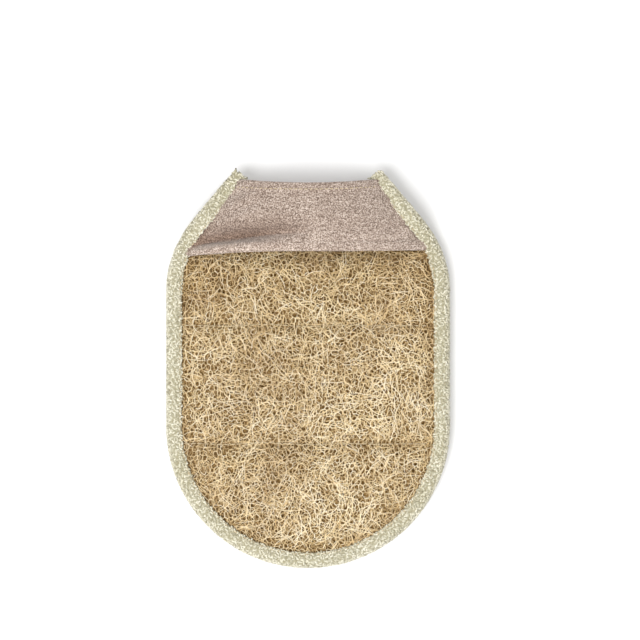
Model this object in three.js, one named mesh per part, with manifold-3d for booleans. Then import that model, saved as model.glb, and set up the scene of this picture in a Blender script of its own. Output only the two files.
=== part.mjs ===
// A natural loofah bath sponge: a flattened, quilted pad of loofah net, bound round its edge with
// terry tape, with a stretch cotton band across the straight end that a hand slips under.
// Millimetres, +Z up. The pad lies on its plain face, the band on top and the straight end at +Y.
// The origin is on the surface that it lies on, below the middle of the whole object.

import * as THREE from "three";
import { ConvexHull } from "three/addons/math/ConvexHull.js";
import { mergeVertices } from "three/addons/utils/BufferGeometryUtils.js";
import Module from "manifold-3d";

const wasm = await Module();
wasm.setup();

// Driving dimensions of the outline, over the binding
const roundEndY = -95;
const endY = 79; // the pad's straight end, which the band hides
const tipY = 110; // the ears' tips, past it
const padWidth = 146;
const pullStart = 48; // height on the side where the band starts to pull the edges in
const pullRadius = 54; // radius of that pulled-in side
const earAngle = (40 * Math.PI) / 180; // how far inwards the ears lean past that
const earLift = 7.5; // how far the band lifts them

// The pad's thickness
const midZ = 7.5; // the rim's middle plane above the surface
const rimHalf = 3; // half the thickness pinched in the binding
const crownHalf = 7.5; // half the thickness in the middle of a quilted panel
const crownRun = 20; // how far in from the binding the panels reach their full thickness
const seamYs = [-31, 30]; // the quilting seams across the pad
const seamHalfWidth = 9;
const seamHalf = 4.2; // half the thickness left at a seam
const trenchDepth = 1.2;
const trenchHalfWidth = 1.1;

// The net of loofah fibres, raised on both faces
const cellSize = 8.2;
const cellJitter = 0.3; // share of the cell size
const netDepth = 1.9;
const pitShare = 0.56; // a pit's floor against its cell

// The terry tape folded round the edge
const tapeWidth = 8.2;
const tapeHalfHeight = 5;
const tapeWall = 1.7;
const tapeStitchInset = 6.9; // where its seam runs
const tapeStitchHeight = 4.2;
const tapeStep = 5;
const terryKnob = 0.45;
const gap = 0.3;

// The hand band
const bandHalfThickness = 0.9;
const bandHem = 0.4; // what the hems add to that
const bandLift = [13, 10]; // how far its lower and its free edge arch above their ends
const bandEndZ = 12.5; // its ends' height above the surface, beside the pad
const bandCrossLift = 2.8; // how much higher it stands past the end tape
const bandMiddleY = [68, 103];
const bandLowerEndY = [65.7, 69]; // the lower edge's left and right ends
const creaseDepth = 1.6; // the long fold above the lower edge, on the left
const bandSteps = 28;
const bandRows = 9;

// Sewing thread
const threadRadius = 0.45;
const stitchLength = 5;

const colours = {
  loofah: 0xdcc394,
  terry: 0xe6e1cb,
  cotton: 0xcdb9aa,
  thread: 0xe9dfc6,
};

const halfWidth = padWidth / 2;
const archY = roundEndY + halfWidth; // centre of the round end
const pullX = halfWidth - pullRadius; // centre of the pulled-in right side
const shiftY = -(roundEndY + tipY) / 2; // puts the origin below the middle of the whole

// Repeatable noise from 0 to 1
function hash(...keys) {
  let h = 2166136261;
  for (const key of keys) h = Math.imul(h ^ Math.round(key * 1000), 16777619) >>> 0;
  h = Math.imul(h ^ (h >>> 15), 2246822519) >>> 0;
  return ((h ^ (h >>> 13)) >>> 0) / 4294967296;
}

const smooth = (x) => THREE.MathUtils.smoothstep(x, 0, 1);

// How far in from the outer edge of the side tape a point above the side's start lies
function pulledInset(x, y) {
  const [dx, dy] = [Math.abs(x) - pullX, y - pullStart];
  const onEar = Math.atan2(dy, dx) > earAngle;
  const reach = onEar ? dx * Math.cos(earAngle) + dy * Math.sin(earAngle) : Math.hypot(dx, dy);
  return pullRadius - reach;
}

// How far in from the pad's outer edge a point lies
function insetAt(x, y) {
  if (y < archY) return halfWidth - Math.hypot(x, y - archY);
  if (y < pullStart) return halfWidth - Math.abs(x);
  return Math.min(pulledInset(x, y), endY - y);
}

// The right side's x at a height above the side's start, so far in from its outer edge
function sideX(y, inset) {
  const [radius, dy] = [pullRadius - inset, y - pullStart];
  if (dy < radius * Math.sin(earAngle)) return pullX + Math.sqrt(radius * radius - dy * dy);
  return pullX + (radius - dy * Math.sin(earAngle)) / Math.cos(earAngle);
}

// Half the pad's thickness, to the top of the net
function halfThickness(x, y) {
  const rise = Math.sin((smooth((insetAt(x, y) - tapeWidth - 2.5) / crownRun) * Math.PI) / 2);
  const panel = THREE.MathUtils.lerp(rimHalf, crownHalf, Math.pow(rise, 0.7));
  const pinch = seamYs.map((seamY) => 1 - smooth(Math.abs(y - seamY) / seamHalfWidth));
  const held = Math.max(...pinch);
  return Math.min(panel, THREE.MathUtils.lerp(panel, seamHalf, held));
}

// The outline from the top of the right side, round the arch and up the left side
function outlinePath(inset, topY) {
  const radius = pullRadius - inset;
  const turn = Math.min(earAngle, Math.asin(Math.min((topY - pullStart) / radius, 1)));
  const path = new THREE.Path();
  path.moveTo(sideX(topY, inset), topY);
  path.lineTo(pullX + radius * Math.cos(turn), pullStart + radius * Math.sin(turn));
  path.absarc(pullX, pullStart, radius, turn, 0, true);
  path.absarc(0, archY, halfWidth - inset, 0, Math.PI, true);
  path.absarc(-pullX, pullStart, radius, Math.PI, Math.PI - turn, true);
  path.lineTo(-sideX(topY, inset), topY);
  return path;
}

// Points of the whole pad's outline, one each step, counter-clockwise
function rimPoints(inset, step) {
  const path = outlinePath(inset, endY - inset);
  path.closePath();
  const count = Math.round(path.getLength() / step);
  return path.getSpacedPoints(count).slice(0, count).reverse();
}

// Delaunay triangles of points in the plane: the underside of the hull of the points on a bowl
function delaunay(points) {
  const bowl = points.map(({ x, y }) => {
    const [u, v] = [x / halfWidth, y / halfWidth];
    return new THREE.Vector3(u, v, u * u + v * v);
  });
  const index = new Map(bowl.map((point, i) => [point, i]));
  const hull = new ConvexHull().setFromPoints(bowl);
  return hull.faces
    .filter((face) => face.normal.z < -1e-6)
    .map((face) => [face.edge, face.edge.next, face.edge.next.next].map((e) => index.get(e.head().point)));
}

// The places of the net's cells: a jittered lattice inside, a row under the tape and a guard row
function cellSites(seed) {
  const sites = [];
  const rowStep = cellSize * Math.sqrt(0.75);
  for (let row = 0; row * rowStep < endY - roundEndY; row++) {
    for (let column = 0; column * cellSize < padWidth; column++) {
      const x = (column + (row % 2) / 2) * cellSize - halfWidth;
      const y = row * rowStep + roundEndY;
      const jx = (hash(seed, row, column) - 0.5) * 2 * cellJitter * cellSize;
      const jy = (hash(seed, row, column, 7) - 0.5) * 2 * cellJitter * cellSize;
      if (insetAt(x + jx, y + jy) > tapeWidth + cellSize / 2) sites.push(new THREE.Vector2(x + jx, y + jy));
    }
  }
  const kept = rimPoints(tapeWidth - 1.2, cellSize);
  const guard = rimPoints(1.6, cellSize);
  return { points: [...sites, ...kept, ...guard], keptCount: sites.length + kept.length };
}

// The net as polygons round their sites. Each corner is the middle of a Delaunay triangle.
function netCells(seed) {
  const { points, keptCount } = cellSites(seed);
  const corners = [];
  const around = points.map(() => []);
  for (const triangle of delaunay(points)) {
    const corner = new THREE.Vector2();
    triangle.forEach((i) => corner.addScaledVector(points[i], 1 / 3));
    triangle.forEach((i) => around[i].push(corners.length));
    corners.push(corner);
  }
  const angle = (from, to) => Math.atan2(to.y - from.y, to.x - from.x);
  const cells = points.slice(0, keptCount).map((site, i) => ({
    site,
    ring: around[i].sort((a, b) => angle(site, corners[a]) - angle(site, corners[b])),
  }));
  return { corners, cells };
}

// The loop of corners round the outside of the kept cells
function patchBoundary(cells) {
  const follows = new Map();
  const edges = new Set();
  const eachEdge = (visit) =>
    cells.forEach(({ ring }) => ring.forEach((a, i) => visit(a, ring[(i + 1) % ring.length])));
  eachEdge((a, b) => edges.add(`${a},${b}`));
  eachEdge((a, b) => edges.has(`${b},${a}`) || follows.set(a, b));
  const first = follows.keys().next().value;
  const loop = [first];
  while (follows.get(loop.at(-1)) !== first) loop.push(follows.get(loop.at(-1)));
  return loop;
}

// Triangles between two closed rings that both run counter-clockwise
function ringStrip(outer, inner, emit) {
  let [i, j] = [0, 0];
  const [n, m] = [outer.length, inner.length];
  while (i < n || j < m) {
    if (j === m || (i < n && (i + 0.5) / n < (j + 0.5) / m)) {
      emit(outer[i % n], outer[(i + 1) % n], inner[j % m]);
      i++;
    } else {
      emit(outer[i % n], inner[(j + 1) % m], inner[j % m]);
      j++;
    }
  }
}

// One face of the pad: the raised net, and the plain strip between it and the rim
function netFace(seed, rim, toPoint, emit) {
  const { corners, cells } = netCells(seed);
  const raised = corners.map(({ x, y }) => toPoint(x, y, 0));
  cells.forEach(({ site, ring }) => {
    const outer = ring.map((i) => raised[i]);
    const pitCount = Math.max(3, Math.floor(ring.length / 2));
    const depth = netDepth * smooth((insetAt(site.x, site.y) - tapeWidth + 2) / 4);
    const pit = Array.from({ length: pitCount }, (_, k) => {
      const edge = corners[ring[Math.round((k * ring.length) / pitCount)]];
      const at = site.clone().lerp(edge, pitShare);
      return toPoint(at.x, at.y, depth);
    });
    ringStrip(outer, pit, emit);
    for (let k = 2; k < pitCount; k++) emit(pit[0], pit[k - 1], pit[k]);
  });
  const loop = patchBoundary(cells);
  const strip = THREE.ShapeUtils.triangulateShape(rim, [loop.map((i) => corners[i])]);
  const all = [...rim.map(({ x, y }) => toPoint(x, y, 0)), ...loop.map((i) => raised[i])];
  strip.forEach(([a, b, c]) => {
    const area = new THREE.Triangle(all[a], all[b], all[c]);
    const up = area.getNormal(new THREE.Vector3()).z > 0;
    emit(all[a], up ? all[b] : all[c], up ? all[c] : all[b]);
  });
}

function geometryOf(triangles) {
  const soup = new THREE.BufferGeometry().setFromPoints(triangles.flat());
  return mergeVertices(soup, 1e-4);
}

function solidOf(geometry) {
  const merged = mergeVertices(geometry.clone().deleteAttribute("normal").deleteAttribute("uv"), 1e-4);
  const vertProperties = new Float32Array(merged.attributes.position.array);
  return new wasm.Manifold(
    new wasm.Mesh({ numProp: 3, vertProperties, triVerts: new Uint32Array(merged.index.array) }),
  );
}

function geometryFrom(solid) {
  const { vertProperties, triVerts, numProp } = solid.getMesh();
  const positions = new THREE.BufferAttribute(new Float32Array(vertProperties), numProp);
  return new THREE.BufferGeometry()
    .setAttribute("position", positions)
    .setIndex(new THREE.BufferAttribute(new Uint32Array(triVerts), 1));
}

// Twice the area of a closed loop of points, along its normal
function areaVector(loop) {
  const sum = new THREE.Vector3();
  loop.forEach((p, i) => sum.add(p.clone().cross(loop[(i + 1) % loop.length])));
  return sum;
}

// An end of a sweep as triangles that face along a direction
function capOf(section, facing) {
  const normal = areaVector(section).normalize();
  const across = new THREE.Vector3(0, 0, 1).cross(normal).normalize();
  const up = normal.clone().cross(across);
  const flat = section.map((p) => new THREE.Vector2(p.dot(across), p.dot(up)));
  return THREE.ShapeUtils.triangulateShape(flat, []).map((face) => {
    const triangle = face.map((i) => section[i]);
    return areaVector(triangle).dot(facing) > 0 ? triangle : triangle.reverse();
  });
}

// A solid swept through closed sections that all have as many points
function sweep(sections) {
  const [first, last] = [sections[0], sections.at(-1)];
  const travel = sections[1][0].clone().sub(first[0]);
  const forward = areaVector(first).dot(travel) > 0;
  const triangles = [...capOf(first, travel.clone().negate())];
  const arrival = last[0].clone().sub(sections.at(-2)[0]);
  triangles.push(...capOf(last, arrival));
  for (let s = 1; s < sections.length; s++) {
    const [from, to] = forward ? [sections[s - 1], sections[s]] : [sections[s], sections[s - 1]];
    from.forEach((point, i) => {
      const j = (i + 1) % from.length;
      triangles.push([point, from[j], to[j]], [point, to[j], to[i]]);
    });
  }
  return geometryOf(triangles);
}

// A thread through points, thicker in the middle of each stitch
function threadThrough(points) {
  const up = new THREE.Vector3(0, 0, 1);
  const sections = points.map((point, i) => {
    const along = points[Math.min(i + 1, points.length - 1)].clone().sub(points[Math.max(i - 1, 0)]);
    const across = along.cross(up).normalize();
    const radius = i % 2 ? threadRadius : threadRadius * 0.45;
    return [1, 3, 5, 7].map((k) => {
      const turn = (k * Math.PI) / 4;
      return point
        .clone()
        .addScaledVector(across, radius * Math.cos(turn))
        .addScaledVector(up, radius * Math.sin(turn));
    });
  });
  return sweep(sections);
}

// The line that a quilting seam takes over the pad's top
function seamLine(seamY, lift) {
  const reach = halfWidth - tapeWidth - 1.5;
  const count = 2 * Math.round(reach / stitchLength) * 2 + 1;
  return Array.from({ length: count }, (_, i) => {
    const x = THREE.MathUtils.lerp(-reach, reach, i / (count - 1));
    return new THREE.Vector3(x, seamY, midZ + halfThickness(x, seamY) + lift);
  });
}

// The trench along a seam, where the stitches press the fibres down
function seamTrench(seamY) {
  const section = [
    [-trenchHalfWidth, -trenchDepth],
    [trenchHalfWidth, -trenchDepth],
    [2 * trenchHalfWidth, crownHalf],
    [-2 * trenchHalfWidth, crownHalf],
  ];
  const line = seamLine(seamY, 0);
  return sweep(line.map(({ x, y, z }) => section.map(([dy, dz]) => new THREE.Vector3(x, y + dy, z + dz))));
}

// The pad of loofah: one grown piece, flattened, with its net raised on both faces
function loofahPad() {
  const rim = rimPoints(tapeWall + 2 * gap, tapeStep);
  const triangles = [];
  const top = (x, y, depth) => new THREE.Vector3(x, y, midZ + halfThickness(x, y) - depth);
  const restSpot = (x, y) => Math.hypot(x, y) < cellSize * 0.8; // a cell whose floor is flush
  const under = (x, y, depth) =>
    new THREE.Vector3(x, y, midZ - halfThickness(x, y) + (restSpot(x, y) ? 0 : depth));
  netFace(11, rim, top, (a, b, c) => triangles.push([a, b, c]));
  netFace(29, rim, under, (a, b, c) => triangles.push([a, c, b]));
  rim.forEach((from, i) => {
    const to = rim[(i + 1) % rim.length];
    const [a, b] = [under(from.x, from.y, 0), under(to.x, to.y, 0)];
    const [c, d] = [top(to.x, to.y, 0), top(from.x, from.y, 0)];
    triangles.push([a, b, c], [a, c, d]);
  });
  let solid = solidOf(geometryOf(triangles));
  for (const seamY of seamYs) solid = solid.subtract(solidOf(seamTrench(seamY)));
  return geometryFrom(solid);
}

// The tape's section, as how far in from its outer edge and how far above its middle each point
// is. The outer points stand out in knobs. A height under 1 flattens it.
function tapeSection(station, height) {
  const knob = (i) => (hash(station, i, 3) - 0.4) * 2 * terryKnob;
  const upper = [
    [tapeWidth, rimHalf + 2 * gap],
    [tapeStitchInset, tapeStitchHeight],
    [4.6, tapeHalfHeight - 0.15 + knob(1)],
    [1.9, tapeHalfHeight - 0.5 + knob(2)],
    [0.2 - knob(3), 1.8],
  ];
  const lower = upper.map(([inset, z]) => [inset, -z]).reverse();
  lower[0][0] = 0.2 - knob(4);
  const channel = [
    [tapeWall, -rimHalf - gap],
    [tapeWall, rimHalf + gap],
  ];
  return [...upper, ...lower, ...channel].map(([inset, z]) => [inset, z * height]);
}

// Where the side tape runs: points of its outer edge, the way out of it and how far it is lifted
function tapeStations() {
  const path = outlinePath(0, tipY);
  const count = Math.round(path.getLength() / tapeStep);
  return path.getSpacedPoints(count).map((point, i) => {
    const along = path.getTangentAt(i / count);
    const out = new THREE.Vector2(-along.y, along.x);
    const lift = earLift * smooth((point.y - endY - 2) / 16);
    return { point, out, lift, height: 1 - 0.5 * smooth((point.y - endY) / 25) };
  });
}

// A point of the tape so far in and up from a station
function tapePoint({ point, out, lift }, inset, z) {
  return new THREE.Vector3(point.x - out.x * inset, point.y - out.y * inset, midZ + lift + z);
}

// The tape round the sides and the arch, which goes on past the pad as two ears
function edgeBinding() {
  const stations = tapeStations();
  const section = (station, i) => tapeSection(i, station.height).map(([a, z]) => tapePoint(station, a, z));
  return sweep(stations.map(section));
}

// The seam that holds the side tape, on top of it
function edgeThread() {
  const inside = tapeStations().slice(1, -1);
  const z = (height) => tapeStitchHeight * height + gap + threadRadius;
  return threadThrough(inside.map((station) => tapePoint(station, tapeStitchInset, z(station.height))));
}

// Points across the straight end so far in from it, clear of the side tapes
function endLine(inset, count) {
  const reach = sideX(endY - inset, tapeWidth + 2 * gap);
  return Array.from({ length: count }, (_, i) => THREE.MathUtils.lerp(-reach, reach, i / (count - 1)));
}

// The tape over the pad's straight end
function endBinding() {
  const count = Math.round((2 * sideX(endY, tapeWidth)) / tapeStep);
  const station = (i) =>
    tapeSection(100 + i, 1).map(([inset, z]) => {
      return new THREE.Vector3(endLine(inset, count)[i], endY - inset, midZ + z);
    });
  return sweep(Array.from({ length: count }, (_, i) => station(i)));
}

// The seam that holds the end tape, on top of it
function endThread() {
  const count = Math.round((2 * sideX(endY, tapeWidth)) / tapeStep);
  const z = midZ + tapeStitchHeight + gap + threadRadius;
  const line = endLine(tapeStitchInset, count).slice(1, -1);
  return threadThrough(line.map((x) => new THREE.Vector3(x, endY - tapeStitchInset, z)));
}

// A point of the band's middle surface, from its left end, -1, to its right end, 1, and from its
// lower edge, 0, to its free edge, 1
function bandPoint(across, up) {
  const side = Math.abs(across);
  const tipInset = tapeWidth + 2 * gap;
  const endUpper = tipY - 2 - tipInset * Math.sin(earAngle);
  const sideY = THREE.MathUtils.lerp(bandLowerEndY[across < 0 ? 0 : 1], endUpper, up);
  const y = THREE.MathUtils.lerp(THREE.MathUtils.lerp(...bandMiddleY, up), sideY, Math.pow(side, 2.2));
  const crossing = bandCrossLift * smooth((sideY - 66) / 8);
  const arch = THREE.MathUtils.lerp(...bandLift, up) * (1 - Math.pow(side, 2.4));
  const onLeft = smooth((0.15 - across) / 0.7) * smooth((1 - side) / 0.15);
  const valley = Math.exp(-(((up - 0.28) / 0.1) ** 2));
  const roll = Math.exp(-(((up - 0.08) / 0.1) ** 2));
  const fold = creaseDepth * onLeft * (0.6 * roll - valley);
  return new THREE.Vector3(across * sideX(sideY, tipInset), y, bandEndZ + crossing + arch + fold);
}

// A point of the band's upper skin, 1, or lower skin, -1, with the hems thicker
function bandSkin(across, up, sign) {
  const step = 0.01;
  const hem = bandHem * (1 - smooth(Math.min(up, 1 - up) / 0.14));
  const [left, right] = [Math.max(across - step, -1), Math.min(across + step, 1)];
  const alongX = bandPoint(right, up).sub(bandPoint(left, up));
  const alongY = bandPoint(across, up + step).sub(bandPoint(across, up - step));
  const normal = alongX.cross(alongY).normalize();
  return bandPoint(across, up).addScaledVector(normal, sign * (bandHalfThickness + hem));
}

// The stretch cotton band that the hand goes under, with a hem along both long edges
function handBand() {
  const rows = Array.from({ length: bandRows }, (_, k) => k / (bandRows - 1));
  const sections = Array.from({ length: bandSteps + 1 }, (_, i) => {
    const across = (2 * i) / bandSteps - 1;
    const upper = rows.map((up) => bandSkin(across, up, 1));
    const lower = rows.map((up) => bandSkin(across, up, -1)).reverse();
    return [...upper, bandPoint(across, 1.03), ...lower, bandPoint(across, -0.03)];
  });
  return sweep(sections);
}

function named(name, geometry, colour) {
  const faceted = geometry.toNonIndexed();
  faceted.computeVertexNormals();
  const material = new THREE.MeshStandardMaterial({ color: colour, roughness: 0.9, metalness: 0 });
  const mesh = new THREE.Mesh(faceted, material);
  mesh.name = name;
  mesh.position.y = shiftY;
  return mesh;
}

const sponge = new THREE.Group();
sponge.add(
  named("loofah_pad", loofahPad(), colours.loofah),
  named("edge_binding", edgeBinding(), colours.terry),
  named("end_binding", endBinding(), colours.terry),
  named("hand_band", handBand(), colours.cotton),
  named("edge_thread", edgeThread(), colours.thread),
  named("end_thread", endThread(), colours.thread),
);
seamYs.forEach((seamY, i) => {
  const line = seamLine(seamY, gap + threadRadius - trenchDepth);
  sponge.add(named(["quilt_thread_lower", "quilt_thread_upper"][i], threadThrough(line), colours.thread));
});

export default sponge;
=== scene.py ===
# A natural loofah bath sponge, lying on its plain face with the hand band on top. Sizes are in
# millimetres in the pad's own frame, and metres() puts them in the shared frame.

import math

import bpy
import numpy as np
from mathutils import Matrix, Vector
from mathutils.geometry import delaunay_2d_cdt


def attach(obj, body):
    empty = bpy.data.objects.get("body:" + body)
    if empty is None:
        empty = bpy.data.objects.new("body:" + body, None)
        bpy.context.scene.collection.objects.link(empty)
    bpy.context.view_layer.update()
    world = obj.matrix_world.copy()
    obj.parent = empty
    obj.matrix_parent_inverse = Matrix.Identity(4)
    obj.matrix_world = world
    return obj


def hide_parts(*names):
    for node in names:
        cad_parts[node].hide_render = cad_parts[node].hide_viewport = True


# The outline, as in the solids. From the round end each side runs straight to PULL_START, bends in
# round an arc, and goes on as a straight ear.
ROUND_END_Y = -95.0
END_Y = 79.0  # the straight end
TIP_Y = 110.0  # the ears' tips
HALF_WIDTH = 73.0
ARCH_Y = ROUND_END_Y + HALF_WIDTH  # the middle of the round end's arc
PULL_START = 48.0
PULL_RADIUS = 54.0
PULL_X = HALF_WIDTH - PULL_RADIUS  # the middle of the right side's arc
EAR_ANGLE = math.radians(40)
EAR_LIFT = 7.5
EAR_LIFT_START = 74.0
EAR_LIFT_RUN = 16.0
CORNER_LIFT_START = 34.0
CORNER_LIFT_RUN = 20.0
SHIFT_Y = -(ROUND_END_Y + TIP_Y) / 2

# The pad's two faces, and which way each one looks
FACES = {"top": 1, "under": -1}

# The pad's thickness. Half of it lies on either side of MID_Z.
MID_Z = 7.5
RIM_HALF = 3.0
CROWN_HALF = 7.5
CROWN_RUN = 20.0
CROWN_EARLY = 0.4  # the rise to the crown starts this far under the tape
CROWN_POWER = 0.7  # under 1, the rise is steepest at the tape
SEAM_YS = (-31.0, 30.0)
SEAM_HALF_WIDTH = 9.0
SEAM_HALF = 4.2
TRENCH_DEPTH = 1.5
TRENCH_HALF_WIDTH = 2.0
PRESS_RUN = 3.0  # how far in from the tape its press is felt

# The inside of the net, built as a dark slab: painted shade deep in the net
INSIDE_STEP = 1.6
INSIDE_INSET = 3.2  # how far in from the tape's outer edge it ends
INSIDE_DEPTH = 2.5  # how far it lies under the face
INSIDE_THINNEST = 1.2  # half of what is left of it where the pad is thin
INSIDE_BUMPS = 0.5
INSIDE_BUMP_SIZE = 6

# The loofah's net is made of webs. Cell is about how wide a web's cells are, and depth is how far
# it lies under the pad's face. Tone is how pale its strands are, from 0 to 1.
WEBS = {
    "top": (
        # The lower tone of this deeper web is painted shade
        {"cell": 2.5, "depth": 1.4, "radius": (0.18, 0.28), "tone": 0.34},
        {"cell": 2.8, "depth": 0.5, "radius": (0.17, 0.31), "tone": 0.68},
    ),
    "under": ({"cell": 2.75, "depth": 0.5, "radius": (0.19, 0.34), "tone": 0.62},),
}
CELL_STRETCH = 1.5  # the cells are longer along the fruit's length
CELL_JITTER = 0.42
LONGEST_STRAND = 2.2  # in cells
LOST_STRANDS = 0.12
WEB_TUCK = 4.5  # how far the webs go under the tape
STRAND_BOW = 0.09  # how far a strand's middle lies aside, as a share of its length
STRAND_SIDES = 3
STRAND_SWELL = (1.12, 0.9, 1.12)  # how thick a strand is at its ends and its middle
CORNER_SINK = 0.28  # how much the depths of the cells' corners differ
MIDDLE_SINK = (-0.12, 0.22)  # how much deeper strands lie in their middles, and how that differs
TUFT_HEIGHT = 0.45  # the webs rise and sink over the whole face, with painted light where they rise
TUFT_SIZE = 11
TUFT_LIGHT = 0.12
SHALLOWEST = 0.38  # how far under the face the middle of any strand stays, so none passes it
PRESSED_SHARE = 0.4  # how much of their further depth strands keep at the tape

# Longer fibres that wander through the net
FIBRE_RADIUS = (0.13, 0.27)
FIBRE_STEP = 1.6
FIBRE_POINTS = 8
FIBRES = {"top": 1900, "under": 950}  # how many set off in each layer
FIBRE_LAYERS = (1.5, 0.8, 0.2)  # how far each layer lies under the face
FIBRE_TUCK = 3.4  # how far they go under the tape
FIBRE_SPREAD = 1.1  # how far their headings differ from the fruit's length, as an angle
FIBRE_BEND = 0.07  # about how much each keeps turning, one way, at each step
FIBRE_WANDER = 0.17  # how much they turn at random at each step
FIBRE_WEAVE = 0.4  # how far they go up and down between the strands
FIBRE_WEAVE_TURNS = (0.8, 1.7)
FIBRE_END_DIP = 0.9
FIBRE_END_TAPER = 0.7
FIBRE_TONE = 0.30  # of the deepest layer, darkest as painted shade
FIBRE_DEPTH_SHADE = 0.25  # painted shade: how much paler each next, shallower layer is

# How the strands' tones vary, with painted shade and painted light
WEB_TONE_SPREAD = 0.19
FIBRE_TONE_SPREAD = 0.17
SEAM_SHADE = 0.12  # how much darker the fibres are at a seam: painted shade in its groove, partly the fibres' press
SEAM_SHADE_HALF_WIDTH = 2.6
TAPE_SHADE = 0.19  # how much darker they are at the tape: painted shade beside it, partly the fibres' press
TAPE_SHADE_RUN = 7.0
UPPER_SHADE = 0.09  # how much darker they are towards the band, as painted shade
UPPER_SHADE_START = 25.0
LOWER_LIGHT = 0.06  # how much paler they are in the lower panel, as painted light
LOWER_LIGHT_END = -15.0
PANEL_SHADING_RUN = 30.0

# The terry tape. Its section gives how far in from the outer edge and how far up each corner lies.
TAPE_WIDTH = 8.2
TAPE_SECTION = (
    (8.2, 3.1),
    (6.9, 3.9),
    (4.6, 4.8),
    (1.9, 4.4),
    (0.2, 1.8),
    (0.2, -1.8),
    (1.9, -4.4),
    (4.6, -4.8),
    (6.9, -3.9),
    (8.2, -3.1),
    (1.7, -3.0),
    (1.7, 3.0),
)
OUTER_ROWS = 38  # rows of the rounded section that are on its outer skin, from one lip to the other
TAPE_STEP = 1.0
EAR_THINNED_BY = 0.5  # with nothing between its two sides, the tape is thinner in the ears
EAR_THIN_RUN = 25.0
EAR_CLOSED_BY = 0.72  # and thinner again at their tips, where the sides meet
EAR_CLOSED_OVER = 5.0
END_TAPE_TUCK = 2.0  # how far the end tape goes under the edge tape
END_TAPE_PINCH = 0.62  # how thick the end tape is where it goes under, beside the rest of it
PINCH_LENGTH = 16.0
PINCH_RUN = 14.0
KNOBS = (-0.22, 0.12)  # how far into the tape the points of its outer skin are moved
GROUND_SHADE = 0.24  # the tape's ground, seen between its loops, dark as painted shade
LOOP_SPACING = 1.4
LOOP_CROWDING = 1.25  # loops for each square of that spacing
LOOP_RADIUS = 0.6
LOOP_SIZES = (0.75, 1.2)  # beside that radius
LOOP_HEIGHT = 0.9  # beside that radius
LOOP_SINK = 0.12  # how far its feet go into the tape
LOOP_PAST_HALF = 0.15  # how far a loop goes on past half a turn at either foot, as an angle
LOOP_POINTS = 4
LOOP_SIDES = 4
LOOP_TONE = (0.76, 0.24)  # and how that differs
YARN_RADIUS = 0.42

# The hand band. A pair is for its lower and its upper edge. Across goes from -1 at the left end to 1
# at the right one, and up from 0 at the lower edge to 1 at the upper one.
BAND_LIFT = (15.0, 10.3)
BAND_MIDDLE_Y = (68.0, 103.0)
BAND_INSET = (5.6, 4.1)  # how far in from the tape's outer edge its corners are
BAND_LEFT_Y = 65.7  # how far up the lower edge's left end is
BAND_RIGHT_Y = 69.0
BAND_TIP_Y = TIP_Y - 2  # the upper corners lie a little down from the ears' tips
BAND_BOW_POWER = 2.2  # a power above 2 keeps the middle flatter than a plain bow
BAND_ARCH_POWER = 2.4
ON_TAPE_LIFT = 2.7  # the ends lie on the tape up to about ON_TAPE_END, and in the ears above it
ON_TAPE_END = 80.0
ON_TAPE_RUN = 10.0
BAND_HALF_THICKNESS = 0.8
BAND_HEM = 0.45  # how much thicker the hems are on either face
HEM_WIDTH = 0.11  # this and the next two are shares of the band's height
HEM_STEP = 0.03
EDGE_ROUNDING = 0.035
EDGE_THINNEST = 0.3
BAND_ROUGHNESS = 0.13
BAND_STEPS = 210
BAND_ROWS = 76
HELD_END = 0.2  # nearer an end than this, the cloth is held too flat to fold fully

# The band's long fold, on the left, with the slack cloth rolled below it
FOLD_DEPTH = 4.2
FOLD_START = 0.2
FOLD_RUN = 0.75
FOLD_MIDDLE_UP = 0.31
FOLD_SLOPE = 0.2
FOLD_ABOVE = 0.15
FOLD_BELOW = 0.07
ROLL_HEIGHT = 0.35 * FOLD_DEPTH
ROLL_PLACE = 0.45  # on the way up from the lower edge to the fold
ROLL_WIDTH = 0.09

# Slanting pulls from the ears, and slack all over
CREASES_UP = 3.2
CREASES_ACROSS = 2.4
CREASE_SWAY = 0.8
CREASE_SWAY_TURNS = 7
CREASE_HEIGHT = 0.35
CREASE_START = 0.35
CREASE_RUN = 0.4
CREASE_END = 0.15
SLACK_HEIGHT = 0.3
SLACK_SIZE = 22

# The band's tones, with painted shade and painted light
BAND_TONE = 0.62
BAND_UNDER_TONE = 0.7
BELOW_LIGHT = 0.28  # how much paler the lower edge is, as painted light
BELOW_LIGHT_RUN = 0.4
# Painted shade in the long fold, and a painted highlight on the roll below it
FOLD_SHADE = 0.75
FOLD_SHADE_UP = 0.02
FOLD_SHADE_ABOVE = 0.2
ROLL_HIGHLIGHT = 0.2
ROLL_HIGHLIGHT_PLACE = 0.35
ROLL_HIGHLIGHT_WIDTH = 0.07
SPOT_SHADOW = 0.6  # painted shadow: small dark spots where the band meets the tape
SPOT_START = 0.87
SPOT_RUN = 0.11
SPOT_SIZE = 3
SPOTS_HALF_SPAN = 66  # the size of the plane that the spots lie on
SPOTS_HEIGHT = 38

# Stitches. Rows are of the tape's rounded section.
STITCH_ROWS = {"top": 4, "under": 33}
STITCH_END_GAP = 3  # sections at either end of a tape without stitches
STITCH_HEIGHT = 0.34
STITCH_RADIUS = 0.3
STITCH_POINTS = 6
STITCH_SIDES = 5
STITCH_SHARE = 0.84  # how much of the pitch a stitch covers
STITCH_THINNEST = 0.55
QUILT_PITCH = 3.4
QUILT_WAVER = 0.5
QUILT_WAVER_SIZE = 40
BINDING_PITCH = 3.0
HEM_PITCH = 2.6
HEM_ROW = 0.9
HEM_STITCH = 0.22
HEM_REACH = 0.94

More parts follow.
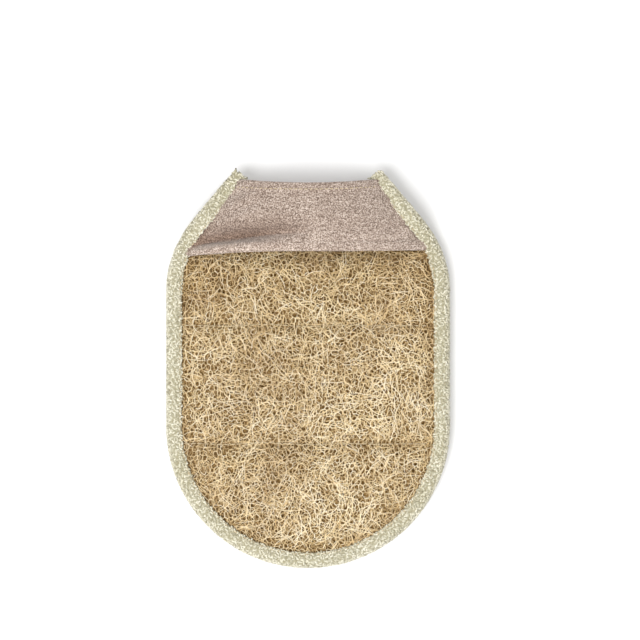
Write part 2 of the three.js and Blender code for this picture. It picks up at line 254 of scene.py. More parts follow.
# Light, and the camera. The photograph looks straight at the pad, so the camera looks straight down.
# PIXEL is how much of the pad's top one pixel of the photograph shows. The photograph's middle is
# PHOTO_MIDDLE pixels to the right of and above the origin of the pad's own frame.
WORLD_STRENGTH = 0.55
PIXEL = 0.514
PHOTO_WIDTH = 640
PHOTO_MIDDLE = (12, 64)
CAMERA_HEIGHT = 1100.0
SENSOR_WIDTH = 36.0

WHITE = (1.0, 1.0, 1.0)

rng = np.random.default_rng(41)


def smooth(x):
    """From 0 to 1 as x goes from 0 to 1, with a soft start and end."""
    x = np.clip(x, 0.0, 1.0)
    return x * x * (3 - 2 * x)


def bell(x):
    """1 where x is 0, and next to nothing from 2 on either way."""
    return np.exp(-(x**2))


def lerp(a, b, t):
    return a + (b - a) * t


def metres(points):
    """Points in the pad's millimetres as metres in the shared frame."""
    return (np.asarray(points, dtype=float) + (0.0, SHIFT_Y, 0.0)) * 0.001


def ripple(x, y, size, seed):
    """Smooth noise over the plane, about from -1 to 1, with bumps of about that size."""
    waves = 7
    turns = np.random.default_rng(seed)
    total = 0.0
    for _ in range(waves):
        angle = turns.uniform(0, 2 * math.pi)
        scale = 2 * math.pi / (size * turns.uniform(0.7, 1.6))
        phase = turns.uniform(0, 2 * math.pi)
        total = total + np.sin((x * math.cos(angle) + y * math.sin(angle)) * scale + phase)
    return total / (0.6 * waves)


def length_to(points):
    """How far along a line each of its points is."""
    return np.concatenate([[0], np.cumsum(np.linalg.norm(np.diff(points, axis=0), axis=1))])


# The outline and the pad's faces


def inset_at(x, y):
    """How far in from the outer edge of the tape a point lies."""
    dx = np.abs(x) - PULL_X
    dy = y - PULL_START
    on_ear = np.arctan2(dy, dx) > EAR_ANGLE
    straight = dx * math.cos(EAR_ANGLE) + dy * math.sin(EAR_ANGLE)
    pulled = PULL_RADIUS - np.where(on_ear, straight, np.hypot(dx, dy))
    upper = np.minimum(pulled, END_Y - y)
    lower = np.where(y < ARCH_Y, HALF_WIDTH - np.hypot(x, y - ARCH_Y), HALF_WIDTH - np.abs(x))
    return np.where(y < PULL_START, lower, upper)


def past_tape(x, y, run):
    """From 0 at the tape's inner edge to 1 that far in from it."""
    return smooth((inset_at(x, y) - TAPE_WIDTH) / run)


def side_x(y, inset):
    """The x of a line that lies so far in from the right side, at a height above PULL_START."""
    radius = PULL_RADIUS - inset
    dy = y - PULL_START
    bent = PULL_X + np.sqrt(np.maximum(radius**2 - dy**2, 0))
    straight = PULL_X + (radius - dy * math.sin(EAR_ANGLE)) / math.cos(EAR_ANGLE)
    return np.where(dy < radius * math.sin(EAR_ANGLE), bent, straight)


def ear_lift(y):
    """How far the band's pull lifts the sides."""
    return EAR_LIFT * smooth((y - EAR_LIFT_START) / EAR_LIFT_RUN)


def corner_lift(x, y):
    """The band's pull also lifts the pad's corners."""
    return ear_lift(y) * smooth((np.abs(x) - CORNER_LIFT_START) / CORNER_LIFT_RUN)


def half_thickness(x, y):
    """Half of the pad's thickness: thin at the tape and the seams, and full between them."""
    rise = np.sin(smooth((inset_at(x, y) - TAPE_WIDTH + CROWN_EARLY) / CROWN_RUN) * math.pi / 2)
    panel = lerp(RIM_HALF, CROWN_HALF, rise**CROWN_POWER)
    for seam_y in SEAM_YS:
        held = 1 - smooth(np.abs(y - seam_y) / SEAM_HALF_WIDTH)
        panel = np.minimum(panel, lerp(panel, SEAM_HALF, held))
        trench = bell((y - seam_y) / TRENCH_HALF_WIDTH) * past_tape(x, y, PRESS_RUN)
        panel = panel - TRENCH_DEPTH * trench
    return panel


def outline(step):
    """Points of the tape's outer edge from the right ear's tip to the left one, and the ways out."""
    right = [(float(side_x(TIP_Y, 0)), TIP_Y)]
    for turn in np.linspace(EAR_ANGLE, 0, 60):
        right.append((PULL_X + PULL_RADIUS * math.cos(turn), PULL_START + PULL_RADIUS * math.sin(turn)))
    for turn in np.linspace(0, -math.pi / 2, 120):
        right.append((HALF_WIDTH * math.cos(turn), ARCH_Y + HALF_WIDTH * math.sin(turn)))
    left = [(-x, y) for x, y in reversed(right[:-1])]
    corners = np.array(right + left)
    run = length_to(corners)
    at = np.linspace(0, run[-1], round(run[-1] / step) + 1)
    points = np.stack([np.interp(at, run, corners[:, k]) for k in (0, 1)], axis=1)
    along = np.gradient(points, axis=0)
    along /= np.linalg.norm(along, axis=1)[:, None]
    return points, np.stack([-along[:, 1], along[:, 0]], axis=1)


# Making meshes


def mesh_object(name, points, faces, made, tone=None):
    """A smooth shaded object. tone is a number for each point that the material can read."""
    mesh = bpy.data.meshes.new(name)
    mesh.from_pydata(metres(points).tolist(), [], faces)
    mesh.polygons.foreach_set("use_smooth", [True] * len(mesh.polygons))
    if tone is not None:
        attribute = mesh.attributes.new("tone", "FLOAT", "POINT")
        attribute.data.foreach_set("value", np.asarray(tone, dtype=np.float32))
    mesh.materials.append(made)
    mesh.update()
    obj = bpy.data.objects.new(name, mesh)
    bpy.context.scene.collection.objects.link(obj)
    return obj


def loft(rings):
    """A closed skin through closed rings of as many points, with a face over each end."""
    count, size = rings.shape[:2]
    i, j = np.meshgrid(np.arange(count - 1), np.arange(size), indexing="ij")
    k = (j + 1) % size
    quads = np.stack([i * size + j, i * size + k, (i + 1) * size + k, (i + 1) * size + j], axis=-1)
    faces = quads.reshape(-1, 4).tolist()
    faces.append(list(range(size))[::-1])
    faces.append([(count - 1) * size + j for j in range(size)])
    return rings.reshape(-1, 3), faces


def tubes(paths, radii, sides):
    """Tubes along paths, an array of paths by points by 3. They are open at their ends."""
    along = np.gradient(paths, axis=1)
    along /= np.linalg.norm(along, axis=2, keepdims=True) + 1e-9
    up = np.zeros_like(along)
    up[..., 2] = 1
    across = np.cross(along, up)
    length = np.linalg.norm(across, axis=2, keepdims=True)
    across = np.where(length < 0.05, (1.0, 0.0, 0.0), across / (length + 1e-9))
    over = np.cross(across, along)
    turns = (np.arange(sides) * 2 * math.pi / sides + math.pi / 2)[:, None]
    ring = across[:, :, None, :] * np.cos(turns) + over[:, :, None, :] * np.sin(turns)
    points = paths[:, :, None, :] + ring * radii[:, :, None, None]
    count, steps = paths.shape[:2]
    p, s, k = np.meshgrid(np.arange(count), np.arange(steps - 1), np.arange(sides), indexing="ij")
    n = (k + 1) % sides
    base = (p * steps + s) * sides
    quads = np.stack([base + k, base + sides + k, base + sides + n, base + n], axis=-1)
    return points.reshape(-1, 3), quads.reshape(-1, 4)


# Materials


def material(name):
    """A new material with its nodes and its shader."""
    made = bpy.data.materials.new(name)
    made.use_nodes = True
    return made, made.node_tree, made.node_tree.nodes["Principled BSDF"]


def ramp(tree, factor, stops):
    """Colours for a factor. Each stop is a place from 0 to 1 and the colour there."""
    node = tree.nodes.new("ShaderNodeValToRGB")
    while len(node.color_ramp.elements) < len(stops):
        node.color_ramp.elements.new(0.5)
    for element, (place, colour) in zip(node.color_ramp.elements, stops):
        element.position = place
        element.color = (*colour, 1)
    tree.links.new(factor, node.inputs["Fac"])
    return node.outputs["Color"]


def noise(tree, scale, detail, stretch=(1, 1, 1)):
    """Noise over the object's own coordinates, with features of about 1/scale metres."""
    place = tree.nodes.new("ShaderNodeTexCoord")
    mapping = tree.nodes.new("ShaderNodeMapping")
    mapping.inputs["Scale"].default_value = stretch
    node = tree.nodes.new("ShaderNodeTexNoise")
    node.inputs["Scale"].default_value = scale
    node.inputs["Detail"].default_value = detail
    tree.links.new(place.outputs["Object"], mapping.inputs["Vector"])
    tree.links.new(mapping.outputs["Vector"], node.inputs["Vector"])
    return node.outputs["Fac"]


def tone_of(tree):
    """The tone that mesh_object gives each point."""
    node = tree.nodes.new("ShaderNodeAttribute")
    node.attribute_name = "tone"
    return node.outputs["Fac"]


def multiply(tree, a, b):
    node = tree.nodes.new("ShaderNodeMix")
    node.data_type = "RGBA"
    node.blend_type = "MULTIPLY"
    node.inputs["Factor"].default_value = 1
    tree.links.new(a, node.inputs["A"])
    tree.links.new(b, node.inputs["B"])
    return node.outputs["Result"]


def coat(tree, shader, colour, roughness, sheen=0.0):
    tree.links.new(colour, shader.inputs["Base Color"])
    shader.inputs["Roughness"].default_value = roughness
    shader.inputs["Sheen Weight"].default_value = sheen


def bump(tree, shader, height, distance, strength):
    node = tree.nodes.new("ShaderNodeBump")
    node.inputs["Distance"].default_value = distance
    node.inputs["Strength"].default_value = strength
    tree.links.new(height, node.inputs["Height"])
    tree.links.new(node.outputs["Normal"], shader.inputs["Normal"])


def fibre_material():
    made, tree, shader = material("loofah_fibre")
    strand_stops = (
        (0.0, (0.34, 0.205, 0.065)),
        (0.35, (0.65, 0.465, 0.21)),
        (0.7, (0.90, 0.74, 0.45)),
        (1.0, (0.99, 0.90, 0.70)),
    )
    patch_stops = (
        (0.32, (0.78, 0.71, 0.62)),
        (0.5, (0.93, 0.90, 0.86)),
        (0.68, WHITE),
    )
    by_strand = ramp(tree, tone_of(tree), strand_stops)
    patches = ramp(tree, noise(tree, 38, 2), patch_stops)
    coat(tree, shader, multiply(tree, by_strand, patches), roughness=0.62, sheen=0.15)
    bump(tree, shader, noise(tree, 2600, 2), distance=0.0002, strength=0.5)
    return made


def shade_slab_material():
    made, tree, shader = material("loofah_shade_slab")
    # Painted shade: dark browns for the shade deep in the net
    stops = (
        (0.32, (0.10, 0.054, 0.012)),
        (0.55, (0.25, 0.150, 0.050)),
        (0.72, (0.42, 0.28, 0.12)),
    )
    coat(tree, shader, ramp(tree, noise(tree, 620, 3), stops), roughness=0.9)
    bump(tree, shader, noise(tree, 900, 3), distance=0.0006, strength=0.8)
    return made


def terry_material():
    made, tree, shader = material("terry")
    loop_stops = (
        (0.0, (0.27, 0.24, 0.155)),
        (0.45, (0.56, 0.525, 0.39)),
        (1.0, (0.85, 0.82, 0.70)),
    )
    by_loop = ramp(tree, tone_of(tree), loop_stops)
    patches = ramp(tree, noise(tree, 60, 2), ((0.3, (0.90, 0.89, 0.84)), (0.7, WHITE)))
    # Painted shade on the knobs, as small dark patches at random
    knobs = ramp(tree, noise(tree, 1000, 2), ((0.4, (0.78, 0.77, 0.71)), (0.6, WHITE)))
    colour = multiply(tree, multiply(tree, by_loop, knobs), patches)
    coat(tree, shader, colour, roughness=0.9, sheen=0.3)
    bump(tree, shader, noise(tree, 1400, 3), distance=0.0005, strength=0.8)
    return made


def cotton_material():
    made, tree, shader = material("cotton")
    weave_stops = (
        (0.36, (0.17, 0.115, 0.085)),
        (0.52, (0.48, 0.38, 0.31)),
        (0.66, (0.79, 0.68, 0.60)),
    )
    band_shading_stops = (
        (0.0, (0.50, 0.42, 0.37)),
        (0.7, (0.90, 0.90, 0.90)),
        (1.0, WHITE),
    )
    weave = ramp(tree, noise(tree, 1500, 2), weave_stops)
    patches = ramp(tree, noise(tree, 45, 2), ((0.3, (0.88, 0.86, 0.85)), (0.7, WHITE)))
    # The band's painted shade and light, from band_tone
    band_shading = ramp(tree, tone_of(tree), band_shading_stops)
    lengthwise = noise(tree, 900, 1, stretch=(0.12, 1, 1))
    rows = ramp(tree, lengthwise, ((0.38, (0.84, 0.82, 0.81)), (0.6, WHITE)))
    colour = multiply(tree, multiply(tree, multiply(tree, weave, rows), patches), band_shading)
    coat(tree, shader, colour, roughness=0.92, sheen=0.35)
    bump(tree, shader, noise(tree, 1500, 3), distance=0.0005, strength=0.9)
    return made


def thread_material():
    made, tree, shader = material("thread")
    stops = ((0.35, (0.40, 0.31, 0.18)), (0.65, (0.66, 0.55, 0.37)))
    coat(tree, shader, ramp(tree, noise(tree, 1800, 1), stops), roughness=0.7)
    return made


def floor_material():
    made, tree, shader = material("pale_floor")
    stops = ((0.3, (0.88, 0.88, 0.88)), (0.7, (0.90, 0.90, 0.90)))
    coat(tree, shader, ramp(tree, noise(tree, 3, 1), stops), roughness=0.9)
    return made


# The loofah


def loofah_shade_slab(made):
    """Painted shade deep in the net, seen between the fibres: a quilted slab in dark browns."""
    xs = np.arange(-HALF_WIDTH, HALF_WIDTH + INSIDE_STEP, INSIDE_STEP)
    ys = np.arange(ROUND_END_Y, END_Y + INSIDE_STEP, INSIDE_STEP)
    all_x, all_y = np.meshgrid(xs, ys, indexing="ij")
    inside = inset_at(all_x, all_y) > INSIDE_INSET
    index = -np.ones(inside.shape, dtype=int)
    index[inside] = np.arange(inside.sum())
    x, y = all_x[inside], all_y[inside]
    lift = corner_lift(x, y)
    half = half_thickness(x, y)
    depth = np.minimum(INSIDE_DEPTH, half - INSIDE_THINNEST) * lerp(0.7, 1, past_tape(x, y, PRESS_RUN))
    depth = depth + INSIDE_BUMPS * ripple(x, y, INSIDE_BUMP_SIZE, seed=5) * past_tape(x, y, 4)
    top = np.stack([x, y, MID_Z + half - depth + lift], axis=1)
    under = np.stack([x, y, MID_Z - half + depth + lift], axis=1)
    # Squares of the grid that have all four corners, and walls round their rim
    whole = inside[:-1, :-1] & inside[1:, :-1] & inside[1:, 1:] & inside[:-1, 1:]
    a, b, c, d = (q[whole] for q in (index[:-1, :-1], index[1:, :-1], index[1:, 1:], index[:-1, 1:]))
    upper = np.stack([a, b, c, d], axis=1)
    lower = upper[:, ::-1] + len(x)
    edges = np.concatenate([upper[:, [k, (k + 1) % 4]] for k in range(4)])
    known = set(map(tuple, edges.tolist()))
    rim = [(p, q) for p, q in known if (q, p) not in known]
    walls = [[q, p, p + len(x), q + len(x)] for p, q in rim]
    faces = upper.tolist() + lower.tolist() + walls
    return mesh_object("loofah_shade_slab", np.concatenate([top, under]), faces, made)


def face_z(x, y, deep, face):
    """The height of points so far under the pad's upper face, 1, or lower face, -1."""
    pressed = lerp(PRESSED_SHARE, 1, past_tape(x, y, PRESS_RUN))
    deep = SHALLOWEST + (deep - SHALLOWEST) * pressed
    return MID_Z + face * (half_thickness(x, y) - deep) + corner_lift(x, y)


def shade_by(x, y):
    """Painted shade on the fibres: at the seams and the tape, which also press them, and near the band.
    """
    near = sum(bell((y - seam_y) / SEAM_SHADE_HALF_WIDTH) for seam_y in SEAM_YS)
    uneven = 0.8 + 0.9 * ripple(x, y, 34, seed=77)
    at_tape = 1 - past_tape(x, y, TAPE_SHADE_RUN)
    upper = smooth((y - UPPER_SHADE_START) / PANEL_SHADING_RUN)
    lower = 1 - smooth((y - LOWER_LIGHT_END) / PANEL_SHADING_RUN)
    by_panel = UPPER_SHADE * upper - LOWER_LIGHT * lower
    return SEAM_SHADE * near * uneven + TAPE_SHADE * at_tape + by_panel


def cell_corners(cell):
    """The corners of an irregular net's cells, and the pairs of corners that a strand joins."""
    wide, long = cell / CELL_STRETCH**0.5, cell * CELL_STRETCH**0.5
    rows = np.arange(ROUND_END_Y, END_Y, long * math.sqrt(0.75))
    columns = np.arange(-HALF_WIDTH, HALF_WIDTH, wide)
    x, y = np.meshgrid(columns, rows)
    x = x + (np.arange(len(rows)) % 2)[:, None] * wide / 2
    x = (x + rng.uniform(-CELL_JITTER, CELL_JITTER, x.shape) * wide).ravel()
    y = (y + rng.uniform(-CELL_JITTER, CELL_JITTER, y.shape) * long).ravel()
    kept = inset_at(x, y) > TAPE_WIDTH - WEB_TUCK
    sites = [Vector((a, b)) for a, b in zip(x[kept], y[kept])]
    points, _, triangles, _, _, _ = delaunay_2d_cdt(sites, [], [], 0, 1e-6)
    corners = np.array([sum((points[k] for k in t), Vector((0, 0))) / 3 for t in triangles])
    across_edge = {}
    for number, (a, b, c) in enumerate(triangles):
        for edge in ((a, b), (b, c), (c, a)):
            across_edge.setdefault(tuple(sorted(edge)), []).append(number)
    pairs = np.array([pair for pair in across_edge.values() if len(pair) == 2])
    length = np.linalg.norm(corners[pairs[:, 0]] - corners[pairs[:, 1]], axis=1)
    return corners, pairs[length < LONGEST_STRAND * cell]


def web(name, face, made, cell, depth, radius, tone):
    """A net of short bowed strands that meet at the corners of its cells."""
    corners, pairs = cell_corners(cell)
    pairs = pairs[rng.random(len(pairs)) > LOST_STRANDS]
    count = len(pairs)
    a, b = corners[pairs[:, 0]], corners[pairs[:, 1]]
    side = np.stack([a[:, 1] - b[:, 1], b[:, 0] - a[:, 0]], axis=1)
    middle = (a + b) / 2 + side * rng.normal(0, STRAND_BOW, (count, 1))
    track = np.stack([a, middle, b], axis=1)
    x, y = track[..., 0], track[..., 1]
    sink = rng.normal(0, CORNER_SINK, len(corners))
    sunk = np.stack([sink[pairs[:, 0]], rng.normal(*MIDDLE_SINK, count), sink[pairs[:, 1]]], axis=1)
    tufts = TUFT_HEIGHT * ripple(x, y, TUFT_SIZE, seed=int(cell * 100))
    deep = np.maximum(depth + sunk - tufts, SHALLOWEST)
    radii = rng.uniform(*radius, (count, 1)) * np.array(STRAND_SWELL)
    points, faces = tubes(np.stack([x, y, face_z(x, y, deep, face)], axis=2), radii, STRAND_SIDES)
    # Painted shade and light of the seams, the tape and the panels
    darker = shade_by(x[:, 1], y[:, 1])
    # Paler on the raised tufts, as painted light
    pale = rng.normal(tone, WEB_TONE_SPREAD, count) + TUFT_LIGHT * tufts[:, 1] - darker
    tones = np.repeat(np.clip(pale, 0, 1), x.shape[1] * STRAND_SIDES)
    return mesh_object(name, points, faces.tolist(), made, tones)


def fibre_tracks(count):
    """Where fibres run that set off at random places and wander. Only those inside the tape are kept."""
    x = rng.uniform(-HALF_WIDTH, HALF_WIDTH, count)
    y = rng.uniform(ROUND_END_Y, END_Y, count)
    heading = rng.normal(math.pi / 2, FIBRE_SPREAD, count)
    bend = rng.normal(0, FIBRE_BEND, count)
    track = np.zeros((count, FIBRE_POINTS, 2))
    for k in range(FIBRE_POINTS):
        track[:, k] = np.stack([x, y], axis=1)
        heading = heading + bend + rng.normal(0, FIBRE_WANDER, count)
        x = x + np.cos(heading) * FIBRE_STEP
        y = y + np.sin(heading) * FIBRE_STEP
    return track[(inset_at(track[..., 0], track[..., 1]) > TAPE_WIDTH - FIBRE_TUCK).all(axis=1)]


def fibres(name, count, face, made):
    """Longer fibres that wander through the net, in layers."""
    all_points, all_faces, all_tones, start = [], [], [], 0
    from_middle = np.abs(np.linspace(-1, 1, FIBRE_POINTS))
    for layer, depth in enumerate(FIBRE_LAYERS):
        track = fibre_tracks(count)
        x, y = track[..., 0], track[..., 1]
        left = len(track)
        phase = rng.uniform(0, 2 * math.pi, (left, 1))
        turns = np.arange(FIBRE_POINTS) * rng.uniform(*FIBRE_WEAVE_TURNS, (left, 1))
        weave = FIBRE_WEAVE * np.sin(turns + phase)
        deep = np.maximum(depth - weave + from_middle**4 * FIBRE_END_DIP, SHALLOWEST)
        radii = rng.uniform(*FIBRE_RADIUS, (left, 1)) * (1 - FIBRE_END_TAPER * from_middle**6)
        points, faces = tubes(np.stack([x, y, face_z(x, y, deep, face)], axis=2), radii, STRAND_SIDES)
        tone = rng.normal(FIBRE_TONE + FIBRE_DEPTH_SHADE * layer, FIBRE_TONE_SPREAD, left)
        # Painted shade and light of the seams, the tape and the panels
        pale = tone[:, None] - shade_by(x, y)
        all_points.append(points)
        all_faces.append(faces + start)
        all_tones.append(np.repeat(np.clip(pale, 0, 1).ravel(), STRAND_SIDES))
        start += len(points)
    points = np.concatenate(all_points)
    faces = np.concatenate(all_faces).tolist()
    return mesh_object(name, points, faces, made, np.concatenate(all_tones))


# The terry tape


def rounded(section):
    """Cuts a closed section's corners twice to round them. Its first corner becomes rows 0 and 1."""
    points = np.array(section)
    for _ in range(2):
        after = np.roll(points, -1, axis=0)
        cut = np.stack([points * 0.75 + after * 0.25, points * 0.25 + after * 0.75], axis=1)
        points = cut.reshape(-1, 2)
    return np.roll(points, 2, axis=0)


def edge_tape_grid():
    """The edge tape's sections from the right ear's tip to the left one, thinner in the ears."""
    points, out = outline(TAPE_STEP)
    section = rounded(TAPE_SECTION)
    number = np.arange(len(points))
    to_tip = np.minimum(number, number[::-1]) * TAPE_STEP
    thinned = 1 - EAR_THINNED_BY * smooth((points[:, 1] - END_Y) / EAR_THIN_RUN)
    closed = 1 - EAR_CLOSED_BY * np.sqrt(1 - np.clip(to_tip / EAR_CLOSED_OVER, 0, 1) ** 0.5)
    height = (thinned * closed)[:, None]
    x = points[:, None, 0] - out[:, None, 0] * section[:, 0]
    y = points[:, None, 1] - out[:, None, 1] * section[:, 0]
    z = MID_Z + ear_lift(points[:, 1])[:, None] + section[:, 1] * height
    return np.stack([x, y, z], axis=2)


def end_tape_grid():
    """The end tape's sections from left to right. Its ends are pinched where they go under."""
    tuck = TAPE_WIDTH - END_TAPE_TUCK
    reach = float(side_x(END_Y, tuck))
    count = round(2 * reach / TAPE_STEP) + 1
    section = rounded(TAPE_SECTION)
    across = np.linspace(-1, 1, count)
    near_end = smooth((np.abs(across) * reach - reach + PINCH_LENGTH) / PINCH_RUN)
    pinch = lerp(1, END_TAPE_PINCH, near_end)[:, None]
    y = END_Y - section[:, 0] + 0 * pinch
    x = across[:, None] * side_x(END_Y - section[:, 0], tuck)
    z = MID_Z + section[:, 1] * pinch + corner_lift(x, y)
    return np.stack([x, y, z], axis=2)


def knobbly(name, grid, made):
    """The tape's own body, with the weave of its loops standing out of it."""
    outer = np.zeros(grid.shape[1])
    outer[:OUTER_ROWS] = 1
    inward = np.mean(grid, axis=1, keepdims=True) - grid
    inward /= np.linalg.norm(inward, axis=2, keepdims=True) + 1e-9
    knobs = rng.uniform(*KNOBS, grid.shape[:2]) * outer
    points, faces = loft((grid + inward * knobs[:, :, None])[:, ::-1])
    return mesh_object(name, points, faces, made, np.full(len(points), GROUND_SHADE))


def terry_loops(name, grid, made):
    """Small standing loops of yarn, scattered evenly over the tape's outer skin."""
    along = np.gradient(grid, axis=0)
    around = np.gradient(grid, axis=1)
    normal = np.cross(along, around)
    normal /= np.linalg.norm(normal, axis=2, keepdims=True) + 1e-9
    centre = grid.mean(axis=1, keepdims=True)
    normal *= np.sign(np.sum(normal * (grid - centre), axis=2, keepdims=True))
    # One loop at random in each of as many equal shares of the skin
    area = np.linalg.norm(np.cross(along, around), axis=2)[:, :OUTER_ROWS]
    count = int(area.sum() / LOOP_SPACING**2 * LOOP_CROWDING)
    marks = (np.arange(count) + rng.uniform(0, 1, count)) / count
    pick = np.searchsorted(np.cumsum(area.ravel()) / area.sum(), marks)
    pick = np.minimum(pick, area.size - 1)
    s, r = pick // OUTER_ROWS, pick % OUTER_ROWS
    spread = rng.uniform(-0.5, 0.5, (count, 2, 1))
    at = grid[s, r] + along[s, r] * spread[:, 0] + around[s, r] * spread[:, 1]
    up = normal[s, r]
    turn = rng.uniform(0, math.pi, (count, 1))
    ahead = along[s, r] / np.linalg.norm(along[s, r], axis=1, keepdims=True)
    aside = np.cross(up, ahead)
    way = ahead * np.cos(turn) + aside * np.sin(turn)
    size = rng.uniform(*LOOP_SIZES, (count, 1)) * LOOP_RADIUS
    paths = []
    for angle in np.linspace(-LOOP_PAST_HALF, math.pi + LOOP_PAST_HALF, LOOP_POINTS):
        height = size * LOOP_HEIGHT * math.sin(angle) - LOOP_SINK
        paths.append(at + way * size * math.cos(angle) + up * height)
    radii = np.full((count, LOOP_POINTS), YARN_RADIUS)
    points, faces = tubes(np.stack(paths, axis=1), radii, LOOP_SIDES)
    tone = np.clip(rng.normal(*LOOP_TONE, count), 0, 1)
    return mesh_object(name, points, faces.tolist(), made, np.repeat(tone, LOOP_POINTS * LOOP_SIDES))


# The hand band


def fold_line(across):
    """How far up the band its long fold lies: the fold sinks towards the left ear."""
    return FOLD_MIDDLE_UP + FOLD_SLOPE * across


def on_left(across):
    """Where the long fold is, from 0 to 1."""
    return smooth((FOLD_START - across) / FOLD_RUN)


def band_point(across, up):
    """A point of the band's middle surface."""
    side = np.abs(across)
    inset = lerp(*BAND_INSET, up)
    end_upper = BAND_TIP_Y - inset * math.sin(EAR_ANGLE)
    end_lower = np.where(across < 0, BAND_LEFT_Y, BAND_RIGHT_Y)
    side_y = lerp(end_lower, end_upper, up)
    y = lerp(lerp(*BAND_MIDDLE_Y, up), side_y, side**BAND_BOW_POWER)
    x = across * side_x(side_y, inset)
    on_tape = 1 - smooth((side_y - ON_TAPE_END) / ON_TAPE_RUN)
    end_z = MID_Z + ear_lift(side_y) + ON_TAPE_LIFT * on_tape
    z = end_z + lerp(*BAND_LIFT, up) * (1 - side**BAND_ARCH_POWER)
    # The long fold and the roll below it
    free = smooth((1 - side) / HELD_END)
    folded = on_left(across) * free
    fold = fold_line(across)
    flank = np.where(up > fold, FOLD_ABOVE, FOLD_BELOW)
    z = z - FOLD_DEPTH * folded * bell((up - fold) / flank)
    z = z + ROLL_HEIGHT * folded * bell((up - ROLL_PLACE * fold) / ROLL_WIDTH)
    # Slanting pulls from the ears
    sway = CREASE_SWAY * np.sin(across * CREASE_SWAY_TURNS)
    pull = np.sin((up * CREASES_UP - across * CREASES_ACROSS) * math.pi * 2 + sway)
    pulled = smooth((side - CREASE_START) / CREASE_RUN) * smooth((1 - side) / CREASE_END)
    z = z + CREASE_HEIGHT * pull * pulled
    z = z + SLACK_HEIGHT * ripple(x, y, SLACK_SIZE, seed=8) * free
    return np.stack([x, y + 0 * z, z], axis=-1)


def band_tone(across, up):
    """Painted shade in the fold and by the tape, and painted light on the roll and lower edge, from 0 to
    1.
    """
    fold = fold_line(across)
    flank = np.where(up > fold, FOLD_SHADE_ABOVE, FOLD_BELOW)
    fold_shade = bell((up - fold - FOLD_SHADE_UP) / flank)
    roll_highlight = bell((up - ROLL_HIGHLIGHT_PLACE * fold) / ROLL_HIGHLIGHT_WIDTH)
    fold_shading = on_left(across) * (ROLL_HIGHLIGHT * roll_highlight - FOLD_SHADE * fold_shade)
    below = 1 - smooth(up / BELOW_LIGHT_RUN)
    spots = 0.5 + 0.7 * ripple(across * SPOTS_HALF_SPAN, up * SPOTS_HEIGHT, SPOT_SIZE, seed=19)
    spot_shadow = smooth((np.abs(across) - SPOT_START) / SPOT_RUN) * np.clip(spots, 0, 1)
    return np.clip(BAND_TONE + BELOW_LIGHT * below + fold_shading - SPOT_SHADOW * spot_shadow, 0, 1)


def band_skin(across, up, face):
    """The band's upper skin, 1, or lower skin, -1: thicker in the hems and rounded at the edges."""
    to_edge = np.minimum(up, 1 - up)
    hem = 1 - smooth((to_edge - HEM_WIDTH) / HEM_STEP)
    edge = np.sqrt(np.clip(to_edge / EDGE_ROUNDING, 0, 1))
    half = (BAND_HALF_THICKNESS + BAND_HEM * hem) * lerp(EDGE_THINNEST, 1, edge)
    step = 0.004
    to_right = band_point(np.minimum(across + step, 1), up)
    to_left = band_point(np.maximum(across - step, -1), up)
    further_up = band_point(across, up + step)
    further_down = band_point(across, up - step)
    normal = np.cross(to_right - to_left, further_up - further_down)
    normal /= np.linalg.norm(normal, axis=-1, keepdims=True)
    rough = rng.uniform(-BAND_ROUGHNESS, BAND_ROUGHNESS, up.shape)
    return band_point(across, up) + normal * (face * (half + rough))[..., None]


def hand_band(made):
    """The band's cloth, with rings of its upper and lower skin from the left end to the right."""
    across = np.linspace(-1, 1, BAND_STEPS)[:, None] * np.ones(BAND_ROWS)
    up = np.linspace(0, 1, BAND_ROWS) * np.ones((BAND_STEPS, 1))
    upper = band_skin(across, up, 1)
    lower = band_skin(across, up, -1)[:, ::-1]
    points, faces = loft(np.concatenate([upper, lower], axis=1)[:, ::-1])
    tone = np.concatenate([band_tone(across, up), np.full_like(up, BAND_UNDER_TONE)], axis=1)
    return mesh_object("hand_band_cloth", points, faces, made, tone[:, ::-1].ravel())


# Stitches


def stitches(name, line, pitch, made, height=STITCH_HEIGHT, radius=STITCH_RADIUS):
    """Separate stitches along a line of points, each a short bowed thread."""
    run = length_to(line)
    count = int(run[-1] / pitch)
    starts = (np.arange(count) + 0.1) * pitch
    share = np.linspace(0, 1, STITCH_POINTS)
    at = starts[:, None] + share * pitch * STITCH_SHARE
    paths = np.stack([np.interp(at, run, line[:, k]) for k in range(3)], axis=2)
    away = np.where(line[:, 2].mean() > MID_Z, 1, -1)
    bow = np.sin(share * math.pi)
    paths[..., 2] += away * (bow * height * 2 - height)
    radii = radius * lerp(STITCH_THINNEST, 1, bow) * np.ones((count, 1))
    points, faces = tubes(paths, radii, STITCH_SIDES)
    return mesh_object(name, points, faces.tolist(), made)


def seam_line(seam_y, face):
    """Where a quilting seam runs, in the trench of the upper face, 1, or lower face, -1."""
    reach = HALF_WIDTH - TAPE_WIDTH - 0.5
    x = np.linspace(-reach, reach, 200)
    y = seam_y + QUILT_WAVER * ripple(x, x * 0, QUILT_WAVER_SIZE, seed=3)
    z = MID_Z + face * (half_thickness(x, np.full_like(x, seam_y)) - 0.1)
    return np.stack([x, y, z], axis=1)


def band_line(up, face):
    """Where a hem's stitches run, on the band's upper skin, 1, or lower skin, -1."""
    across = np.linspace(-HEM_REACH, HEM_REACH, 120)
    line = band_point(across, np.full_like(across, up))
    line[:, 2] += face * (BAND_HALF_THICKNESS + BAND_HEM)
    return line


def hem_row(side, face, made):
    line = band_line(HEM_ROW, face)
    return stitches(f"hem_stitches_{side}", line, HEM_PITCH, made, HEM_STITCH, HEM_STITCH)


# Light


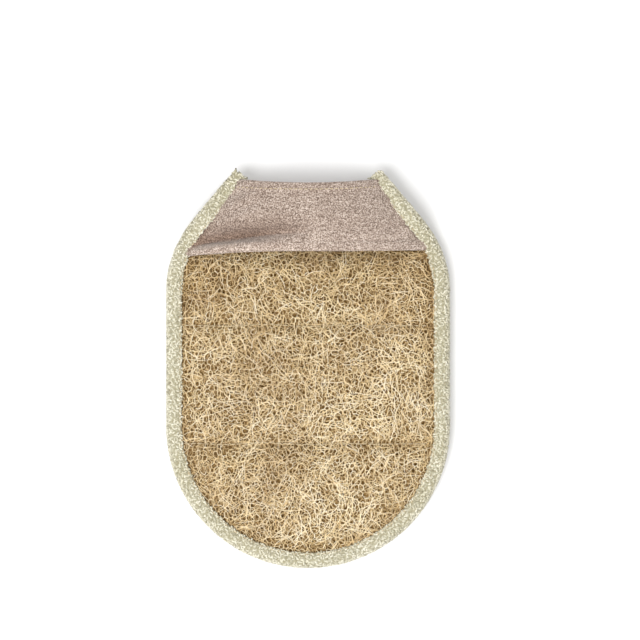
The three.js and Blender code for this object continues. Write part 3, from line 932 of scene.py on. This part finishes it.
def area_light(name, place, size, power):
    """A square lamp that points at the pad."""
    light = bpy.data.lights.new(name, "AREA")
    light.size = size
    light.energy = power
    lamp = bpy.data.objects.new(name, light)
    lamp.location = place
    lamp.rotation_euler = (-Vector(place)).to_track_quat("-Z", "Y").to_euler()
    bpy.context.scene.collection.objects.link(lamp)


# The pieces

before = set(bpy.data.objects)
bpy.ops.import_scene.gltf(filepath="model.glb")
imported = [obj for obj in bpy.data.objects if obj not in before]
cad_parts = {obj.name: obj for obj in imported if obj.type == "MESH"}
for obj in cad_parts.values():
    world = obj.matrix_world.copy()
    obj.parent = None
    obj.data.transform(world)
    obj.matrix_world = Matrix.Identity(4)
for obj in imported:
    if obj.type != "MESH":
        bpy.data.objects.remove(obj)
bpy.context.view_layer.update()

fibre = fibre_material()
inside = shade_slab_material()
terry = terry_material()
cotton = cotton_material()
thread = thread_material()

body = loofah_shade_slab(inside)
loofah = [body]
for side, webs in WEBS.items():
    for number, settings in enumerate(webs):
        loofah.append(web(f"loofah_web_{side}_{number}", FACES[side], fibre, **settings))
for side, count in FIBRES.items():
    loofah.append(fibres(f"loofah_fibres_{side}", count, FACES[side], fibre))
edge_grid = edge_tape_grid()
end_grid = end_tape_grid()
edge_tape = knobbly("edge_binding_tape", edge_grid, terry)
edge_loops = terry_loops("edge_binding_loops", edge_grid, terry)
end_tape = knobbly("end_binding_tape", end_grid, terry)
end_loops = terry_loops("end_binding_loops", end_grid, terry)
band = hand_band(cotton)

# What each node of the solids is replaced by, with its slot
dressing = {
    "loofah_pad": ("loofah", loofah),
    "edge_binding": ("terry", [edge_tape, edge_loops]),
    "end_binding": ("terry", [end_tape, end_loops]),
    "hand_band": ("cotton", [band]),
}
for which, seam_y in zip(("lower", "upper"), SEAM_YS):
    pair = []
    for side, face in FACES.items():
        name = f"quilt_stitches_{which}_{side}"
        pair.append(stitches(name, seam_line(seam_y, face), QUILT_PITCH, thread))
    dressing[f"quilt_thread_{which}"] = ("thread", pair)
for node, grid in (("edge", edge_grid), ("end", end_grid)):
    pair = []
    for side, row in STITCH_ROWS.items():
        line = grid[STITCH_END_GAP:-STITCH_END_GAP, row]
        pair.append(stitches(f"{node}_stitches_{side}", line, BINDING_PITCH, thread))
    dressing[f"{node}_thread"] = ("thread", pair)

hem_stitches = [hem_row(side, face, thread) for side, face in FACES.items()]
for piece in hem_stitches:
    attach(piece, "root")

for node, (slot, made) in dressing.items():
    for piece in made:
        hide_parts(node)
        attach(piece, "root")

# Floor, light and camera

bpy.ops.mesh.primitive_plane_add(size=6, location=(0, 0, 0))
floor = bpy.context.object
floor.name = "floor"
floor.data.materials.append(floor_material())

world = bpy.data.worlds.new("studio")
bpy.context.scene.world = world
world.use_nodes = True
background = world.node_tree.nodes["Background"]
background.inputs["Color"].default_value = (*WHITE, 1)
background.inputs["Strength"].default_value = WORLD_STRENGTH
area_light("key", place=(-0.5, -0.55, 1.45), size=1.0, power=27)
area_light("fill", place=(0.8, 0.7, 1.3), size=1.2, power=9)

camera_data = bpy.data.cameras.new("camera")
camera = bpy.data.objects.new("camera", camera_data)
bpy.context.scene.collection.objects.link(camera)
bpy.context.scene.camera = camera
camera.location = metres((PHOTO_MIDDLE[0] * PIXEL, PHOTO_MIDDLE[1] * PIXEL, CAMERA_HEIGHT))
camera_data.sensor_width = SENSOR_WIDTH
pad_top = MID_Z + CROWN_HALF
camera_data.lens = SENSOR_WIDTH * (CAMERA_HEIGHT - pad_top) / (PHOTO_WIDTH * PIXEL)
bpy.context.scene.view_settings.view_transform = "Standard"
